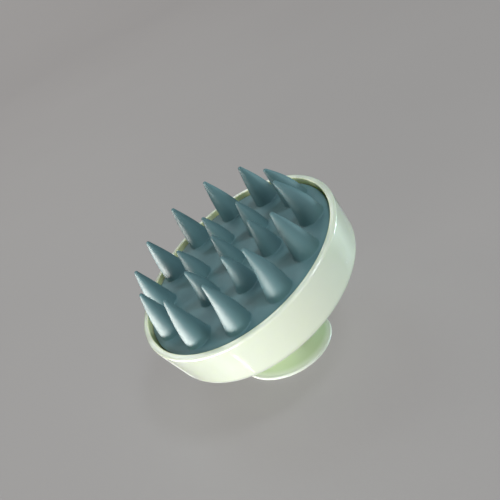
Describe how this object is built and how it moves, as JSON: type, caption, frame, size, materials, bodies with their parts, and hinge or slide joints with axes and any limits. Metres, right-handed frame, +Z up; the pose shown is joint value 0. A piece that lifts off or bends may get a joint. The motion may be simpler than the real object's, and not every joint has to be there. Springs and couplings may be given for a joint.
{
  "type": "scalp massager",
  "caption": "Hand-held scalp massager: a round shell with a lift-out pad of soft conical teeth, on a leaning knob handle.",
  "frame": {"origin": "centre of the knob's flat palm face, on which the massager stands", "axes": "+Z up along the handle's axis; the head leans towards -X, with its teeth up"},
  "size_m": [0.0776, 0.078, 0.0634],
  "materials": {
    "shell_plastic": "gloss",
    "handle_plastic": "gloss",
    "pad_silicone": "satin",
    "inner_plastic": "matte",
    "seal_rubber": "matte",
    "screw_steel": "brushed"
  },
  "bodies": {
    "body": {"shell": "shell_plastic", "handle": "handle_plastic", "palm_cap": "handle_plastic", "handle_gasket": "seal_rubber", "handle_screw_1": "screw_steel", "handle_screw_2": "screw_steel", "handle_screw_3": "screw_steel"},
    "tooth_insert": {"tooth_pad": "pad_silicone", "support_plate": "inner_plastic", "clamp_ring": "inner_plastic", "seal_ring": "seal_rubber", "plate_screw_1": "screw_steel", "plate_screw_2": "screw_steel", "plate_screw_3": "screw_steel", "plate_screw_4": "screw_steel"}
  },
  "joints": [
    {"name": "insert_lift", "type": "slide", "parent": "body", "child": "tooth_insert", "axis": [-0.2334, 0, 0.9724], "range_m": [0, 0.014]}
  ]
}
